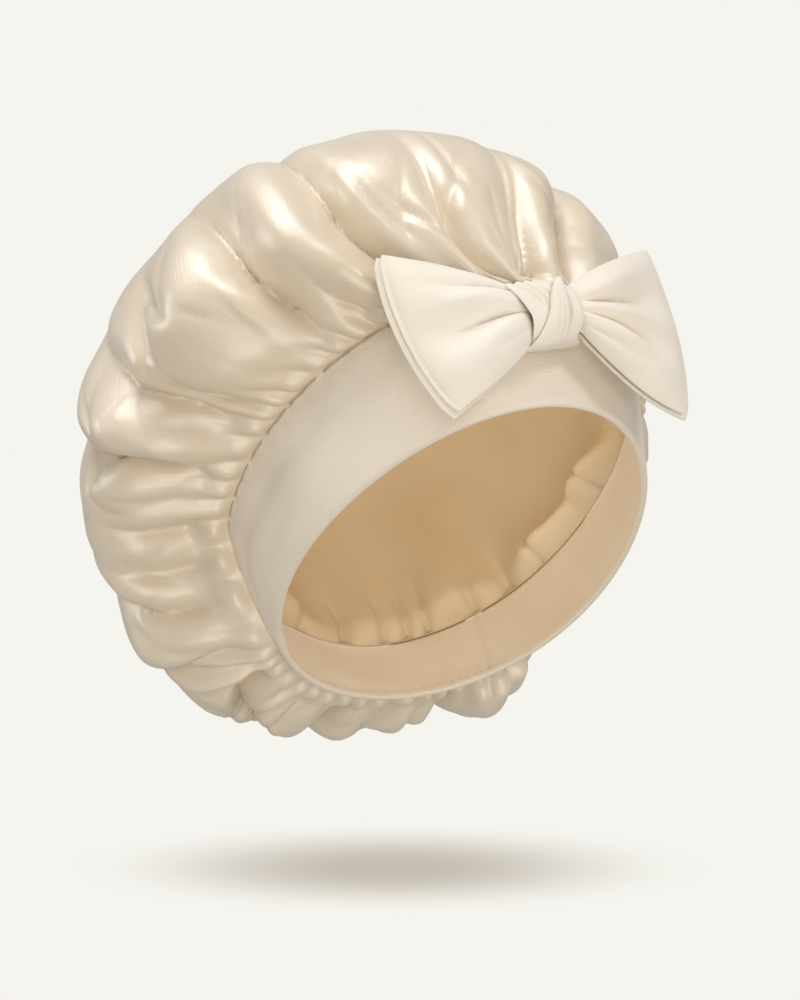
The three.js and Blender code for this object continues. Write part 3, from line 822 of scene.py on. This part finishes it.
def outer_row(angle, seam, t):
    """The outer layer, which the gathers pull in at its upper edge, as a distance out and a height."""
    height = mix(BAND_WALL / 2, seam + LIP, t)
    pull = GATHER_PULL * (tucks(angle, FINE["count"], FINE["uneven"]) - MEAN_TUCK)
    pull = pull * ease(t, *GATHER_PULL_SHARES)
    out = BAND_WALL + dents(angle, height, 0.2) * (1 - ease(height, seam - OUTER_FLAT, seam)) - pull
    hollow = HOLLOW_DEPTH * np.exp(-((height - HOLLOW_AT * seam) / HOLLOW_HALF) ** 2)
    return out - hollow * (0.6 + 0.4 * np.sin(angle * 3 + 0.8)) * ease(seam, 12, 30), height


def band_row(angle, kind, t):
    """Where a row of the section lies at each angle."""
    top, seam = facing_top(angle), seam_height(angle)
    level = 0 * angle
    if kind == "facing":
        out, height = facing_row(angle, top, t)
    elif kind == "roll":
        height = BAND_WALL / 2 * (1 - math.sin(math.pi * t)) + level
        out = BAND_WALL / 2 * (1 - math.cos(math.pi * t)) + level
    elif kind == "outer":
        out, height = outer_row(angle, seam, t)
    elif kind == "seam":
        height = seam + LIP - 1.0 * t
        out = mix(BAND_WALL, FACING_THICKNESS + GAP + CROWN_THICKNESS + 0.1, math.sin(math.pi * t / 2))
    elif kind == "behind":
        height = mix(seam, top - 0.6, t)
        out = FACING_THICKNESS + level
    else:
        height = top - 0.5 * (1 - math.sin(math.pi * t)) + level
        out = FACING_THICKNESS * (1 - t) + level
    return band_point(angle, out, height)


def band_shape(u, v):
    """The section carried round the head. Its last row meets its first one."""
    angle = 2 * math.pi * u
    index = np.rint(v * len(OUTLINE)).astype(int) % len(OUTLINE)
    placed = np.zeros((len(u), 3))
    for i, (kind, t) in enumerate(OUTLINE):
        here = index == i
        placed[here] = band_row(angle[here], kind, t)
    return placed


band = cloth("folded_band", BAND_COLUMNS, len(OUTLINE), band_shape, 0, [band_crepe])

# %% [markdown]
# ## Hem stitches
#
# A line of machine stitches holds the hem at the nape. Each stitch is a short rounded bar, laid
# along the facing a little above the fold and sunk in its cloth.

# %% Hem stitches
STITCH_LENGTH = 2.6
STITCH_PITCH = 3.4
STITCH_THICKNESS = 0.55
STITCH_HEIGHT = 3.2
STITCH_OUT = -0.12
STITCH_FROM = math.radians(132)
STITCH_SAMPLES = 400


def stitch_line(name, from_angle, to_angle, out, height):
    """One mesh of short bars along the band between two angles."""
    line = bmesh.new()
    angles = np.linspace(from_angle, to_angle, STITCH_SAMPLES)
    run = band_point(angles, np.full(STITCH_SAMPLES, out), np.full(STITCH_SAMPLES, height))
    length = np.concatenate([[0], np.cumsum(np.linalg.norm(np.diff(run, axis=0), axis=1))])
    bar_size = (STITCH_THICKNESS * MM / 2, STITCH_THICKNESS * MM / 2, STITCH_LENGTH * MM / 2, 1)
    for middle in np.arange(STITCH_PITCH, length[-1] - STITCH_PITCH, STITCH_PITCH):
        at, before, after = (np.array([np.interp(middle + s, length, run[:, k]) for k in range(3)])
                             for s in (0, -STITCH_LENGTH / 2, STITCH_LENGTH / 2))
        turn = Vector(after - before).normalized().to_track_quat("Z", "Y").to_matrix().to_4x4()
        placed = Matrix.Translation(Vector(at) * MM) @ turn @ Matrix.Diagonal(bar_size)
        bmesh.ops.create_icosphere(line, subdivisions=1, radius=1, matrix=placed)
    for face in line.faces:
        face.smooth = True
    mesh = bpy.data.meshes.new(name)
    line.to_mesh(mesh)
    line.free()
    mesh.materials.append(thread)
    piece = bpy.data.objects.new(name, mesh)
    bpy.context.scene.collection.objects.link(piece)
    print(name, "is", round(float(length[-1])), "mm long")
    return piece


stitches = stitch_line("hem_stitches", STITCH_FROM, 2 * math.pi - STITCH_FROM, STITCH_OUT, STITCH_HEIGHT)

# %% [markdown]
# ## Bow
#
# Each wing is two cloths, and both are drawn together under the knot. The front cloth puffs out
# and has soft pleats that start deep at the knot and open out. The back cloth is flatter and shows a
# thin edge past the front one.

# %% Bow sizes
BOW_SHIFT = -11
BOW_DROP = 20
BOW_TILT = math.radians(6.5)
WING_END_BULGE = 6
WING_WAIST_HEIGHT = 19
WING_LOFT = 9.5
WING_SPREADING = 0.85
BACK_LEAF_SHOW = 1.6
WAIST_SPREAD = 2.8
LEAF_THICKNESS = 1.6
KNOT_WIDTH = 22
KNOT_HEIGHT = 29
KNOT_DEPTH = 18
KNOT_CROWNING = 1
KNOT_MIDDLE = GAP + KNOT_CROWNING + KNOT_DEPTH / 2
LEAF_COLUMNS = 64
LEAF_ROWS = 56
# "top" and "bottom" are how far a wing's corners reach from the knot's middle, "height" is its height at
# its end, "sweep" how far that end lies back, "droop" how far it hangs, and "sag" how far the lower edge
# hangs halfway along.
WING_COLUMNS = ("side", "top", "bottom", "height", "sweep", "droop", "sag")
WINGS = {
    "left": dict(zip(WING_COLUMNS, (1, 62, 47, 79, 18, 6, 7))),
    "right": dict(zip(WING_COLUMNS, (-1, 58.5, 49.5, 72.5, 10, -0.5, 1.5))),
}
# Each pleat goes across the wing from "start" at the knot to "finish" at the wing's end, from -1 at the
# lower edge to 1 at the upper one. "half" times PLEAT_WIDENING is its half width at either end, "depth"
# its share of the wing's loft, and "end" where it is gone.
PLEAT_COLUMNS = ("start", "finish", "half", "depth", "end")
PLEATS = {
    "right": [(0.66, 0.50, 0.30, 0.60, 1.2), (-0.02, -0.16, 0.42, 0.96, 1.4), (-0.62, -0.66, 0.20, 0.2, 0.6)],
    "left": [(0.26, 0.40, 0.38, 0.94, 1.4), (-0.14, -0.34, 0.26, 0.75, 1.2), (-0.62, -0.66, 0.20, 0.3, 0.8)],
}


# %% Where the bow sits
def bow_frame():
    """The knot's seat on the band, and the bow's own axes: to the left, up the band and out from it."""
    angle = np.full(1, math.asin(BOW_SHIFT / (RIM_HALF_WIDTH + BAND_FLARE)))
    drop = seam_height(angle) - BOW_DROP
    wall = np.full(1, BAND_WALL)
    seat = band_point(angle, wall, drop)[0]
    along = band_point(angle + 0.01, wall, drop)[0] - seat
    along /= np.linalg.norm(along)
    slope = band_point(angle, wall, drop + BOW_DROP)[0] - seat
    out = np.cross(along, slope / np.linalg.norm(slope))
    out /= np.linalg.norm(out)
    square_up = np.cross(out, along)
    left = along * math.cos(BOW_TILT) + square_up * math.sin(BOW_TILT)
    up = square_up * math.cos(BOW_TILT) - along * math.sin(BOW_TILT)
    return seat, left, up, out


bow_seat, bow_left, bow_up, bow_out = bow_frame()
print("the bow sits at", np.round(bow_seat, 1), "mm")


def on_bow(x, y, z):
    """A point given along the band, up its slope and out from it, in the bonnet's own frame."""
    return bow_seat + x[:, None] * bow_left + y[:, None] * bow_up + z[:, None] * bow_out


# %% Wings
CORNER_ROUNDING = 1.0
CORNER_START = (0.86, 0.8)
EDGE_WAVE = 0.8
BACK_WAVE_SHARE = 0.6
LOFT_REACH = 1.04
LOFT_POWER = 0.6
LOFT_EDGE_POWER = 3.2
# A pleat is narrow and sharp at the knot, and wide and soft at the wing's end.
PLEAT_WIDENING = (0.55, 1.25)
WIDE_FROM = (0.0, 0.8)
SOFT_FROM = (0.15, 0.9)
SOFT_WIDTH = 1.3
PLEAT_STARTS = (0, 0.18)
PLEAT_FADES = 0.35


def wing_loft(name, free, across):
    """How far the front cloth puffs out between its edges, less its pleats."""
    fullness = np.sin(math.pi * np.clip(free * LOFT_REACH, 0, 1)) ** LOFT_POWER
    loft = WING_LOFT * fullness * (1 - np.abs(across) ** LOFT_EDGE_POWER)
    for row in PLEATS[name]:
        pleat = dict(zip(PLEAT_COLUMNS, row))
        middle = mix(pleat["start"], pleat["finish"], ease(free, 0, 1))
        half = pleat["half"] * mix(*PLEAT_WIDENING, ease(free, *WIDE_FROM))
        sharp = valley(across - middle, half, 0.0)
        soft = puff(across - middle, half * SOFT_WIDTH)
        fade = ease(free, *PLEAT_STARTS) * (1 - ease(free, pleat["end"] * PLEAT_FADES, pleat["end"]))
        loft = loft * (1 - pleat["depth"] * mix(sharp, soft, ease(free, *SOFT_FROM)) * fade)
    return loft


def wing_point(name, is_front, length, across):
    """A wing's cloth: length from the knot (0) to its end (1), and across from -1 to its upper edge, 1."""
    wing = WINGS[name]
    show = 0 if is_front else BACK_LEAF_SHOW
    at_corner = ease(np.abs(across), CORNER_START[0], 1.0) * ease(length, CORNER_START[1], 1.0)
    straight = mix(wing["bottom"], wing["top"], (across + 1) / 2)
    end = straight + WING_END_BULGE * (1 - across ** 2) + show - CORNER_ROUNDING * at_corner
    x = mix(GAP, end, length)
    free = np.clip(x - KNOT_WIDTH / 2 + 1, 0, None) / (end - KNOT_WIDTH / 2 + 1)
    full_height = wing["height"] + 2 * show * ease(-across, 0, 1)
    height = mix(WING_WAIST_HEIGHT, full_height, free ** WING_SPREADING)
    far = x / (wing["top"] + WING_END_BULGE + show)
    level = KNOT_MIDDLE - wing["sweep"] * far ** 2
    spread = mix(WAIST_SPREAD, LEAF_THICKNESS + 2 * GAP, far) / 2
    y = across * height / 2 - wing["droop"] * free - wing["sag"] * np.sin(math.pi * free) * (1 - across) / 2
    wave = EDGE_WAVE * np.sin(3.2 * across + 2 * free + wing["side"]) * ease(free, 0.5, 1.0)
    if not is_front:
        return on_bow(wing["side"] * x, y, level - spread + wave * BACK_WAVE_SHARE)
    return on_bow(wing["side"] * x, y, level + spread + wing_loft(name, free, across) + wave)


leaves = []
for name in WINGS:
    for is_front in (True, False):
        label = f"{name}_{'front' if is_front else 'back'}_leaf"
        leaf = cloth(
            f"bow_{label}", LEAF_COLUMNS, LEAF_ROWS,
            lambda u, v, n=name, f=is_front: wing_point(n, f, u, 2 * v - 1),
            LEAF_THICKNESS, [bow_crepe], offset=0.0, rounding=1,
        )
        leaves.append((leaf, label))

# %% [markdown]
# ## Knot
#
# The knot is a strip that goes round the bow's waist, and a teardrop of cloth laid over it. Seen from
# the front, a few fine pleats fan out at the strip's upper left, and the teardrop runs from the top
# right to the lower left.

# %% Knot
WRAP_THICKNESS = 2.0
WRAP_COLUMNS = 112
WRAP_ROWS = 64
WRAP_SINK = 1.2
STRAP_THICKNESS = 0.9
STRAP_COLUMNS = 96
STRAP_ROWS = 40
STRAP_SINK = 0.6
STRAP_LOFT = 2.8
STRAP_CREASE = 1.1
STRAP_FROM = -98
STRAP_TO = 50
STRAP_LOW_END = -9.0
STRAP_TOP_END = 6.4
STRAP_BOWING = 1.2
STRAP_TIP_HALF = 0.5
STRAP_HALF = 5.9
SQUARENESS = 2.4
KNOT_SHIFT = -2.0
# Pleats of the wrap: the place across it from 0 to 1, how far that leans, depth in millimetres and
# half width
WRAP_PLEATS = [(0.28, 0.10, 1.6, 0.08), (0.41, 0.06, 1.8, 0.07), (0.54, 0.02, 1.4, 0.06)]
LOWER_PLEAT_DEPTH = 2.2
LOWER_PLEAT_HALF = 0.10
UPPER_PLEATS_RISE = (-0.35, 0.15)
LOWER_PLEAT_ENDS = (0.4, 0.9)
WRAP_FRONT = (-0.2, 0.5)
# The strap's two creases: where each crosses the middle, its slope, half width and depth, and the shares
# of the strap's length between which it comes in and goes
CREASE_COLUMNS = ("at", "slope", "half", "depth", "starts", "ends")
STRAP_CREASES = [
    (0.45, 0.7, 0.16, 1.0, (0.15, 0.3), (0.6, 0.8)),
    (-0.15, 0.5, 0.12, 0.7, (0.3, 0.5), (0.7, 0.9)),
]
CREASE_STEEP = 0.2


def square(value):
    """A sine or cosine bent so that the oval it draws is a little squarer."""
    return np.sign(value) * np.abs(value) ** (2 / SQUARENESS)


def knot_point(turn, x, extra):
    """A point round the knot: turn 0 is its front, extra how far outside its face it lies."""
    y = square(np.sin(turn)) * (KNOT_HEIGHT / 2 + extra)
    z = KNOT_MIDDLE + square(np.cos(turn)) * (KNOT_DEPTH / 2 + extra)
    return on_bow(x + KNOT_SHIFT, y, z)


def wrap_shape(u, v):
    """u goes round the bow's waist, and v across the wrap from the wearer's right to the left."""
    turn = 2 * math.pi * u
    facing = ease(np.cos(turn), *WRAP_FRONT)
    rise = np.sin(turn)
    low_edge = -KNOT_WIDTH / 2 - facing * (4.5 * ease(rise, -0.3, 0.9) - 0.8 * puff(rise + 0.35, 0.5))
    high_edge = KNOT_WIDTH / 2 + facing * (0.8 - 5.0 * ease(np.abs(rise + 0.12), 0.25, 1.1))
    extra = KNOT_CROWNING * np.sin(math.pi * v) ** 0.5 - WRAP_SINK
    for place, lean, depth, half in WRAP_PLEATS:
        line = place - lean * rise
        extra = extra - depth * valley(v - line, half, SMALL_STEEP) * facing * ease(rise, *UPPER_PLEATS_RISE)
    line = 0.78 + 0.05 * rise - 0.42 * np.clip(-rise, 0, 1) ** 2
    lower = LOWER_PLEAT_DEPTH * valley(v - line, LOWER_PLEAT_HALF, 0.0)
    extra = extra - lower * facing * (1 - ease(rise, *LOWER_PLEAT_ENDS))
    return knot_point(turn, mix(low_edge, high_edge, v), extra)


def strap_shape(u, v):
    """u goes from the strap's lower end to its tip, and v across it."""
    turn = np.radians(mix(STRAP_FROM, STRAP_TO, u))
    across = 2 * v - 1
    middle = mix(STRAP_LOW_END, STRAP_TOP_END, u) + STRAP_BOWING * np.sin(math.pi * u)
    half = STRAP_TIP_HALF + STRAP_HALF * (1 - u ** 2.2) * ease(u, -1.0, 0.3)
    body = np.clip(1 - across ** 2, 0, 1) ** 0.5 * (1 - ease(u, 0.86, 1.0)) * ease(u, 0, 0.22)
    creases = 0
    for row in STRAP_CREASES:
        crease = dict(zip(CREASE_COLUMNS, row))
        away = across - crease["at"] + crease["slope"] * (u - 0.5)
        dip = crease["depth"] * valley(away, crease["half"], CREASE_STEEP)
        creases = creases + dip * ease(u, *crease["starts"]) * (1 - ease(u, *crease["ends"]))
    lift = KNOT_CROWNING - STRAP_SINK + STRAP_LOFT * body - STRAP_CREASE * creases
    return knot_point(turn, middle + across * half, lift)


knot_wrap = cloth("bow_knot_wrap", WRAP_COLUMNS, WRAP_ROWS, wrap_shape, WRAP_THICKNESS, [knot_crepe])
knot_strap = cloth("bow_knot_strap", STRAP_COLUMNS, STRAP_ROWS, strap_shape, STRAP_THICKNESS, [knot_crepe])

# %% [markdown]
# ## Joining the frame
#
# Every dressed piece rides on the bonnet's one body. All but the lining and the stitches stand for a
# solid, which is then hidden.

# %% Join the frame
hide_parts("crown")
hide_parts("band")
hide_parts("knot_wrap")
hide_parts("knot_strap")
for leaf, label in leaves:
    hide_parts(label)
    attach(leaf, "root")
for piece, slot in ((crown, "satin"), (lining, "satin"), (band, "band_cloth"), (stitches, "band_cloth"),
                    (knot_wrap, "bow_cloth"), (knot_strap, "bow_cloth")):
    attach(piece, "root")

# %% Update the scene
bpy.context.view_layer.update()
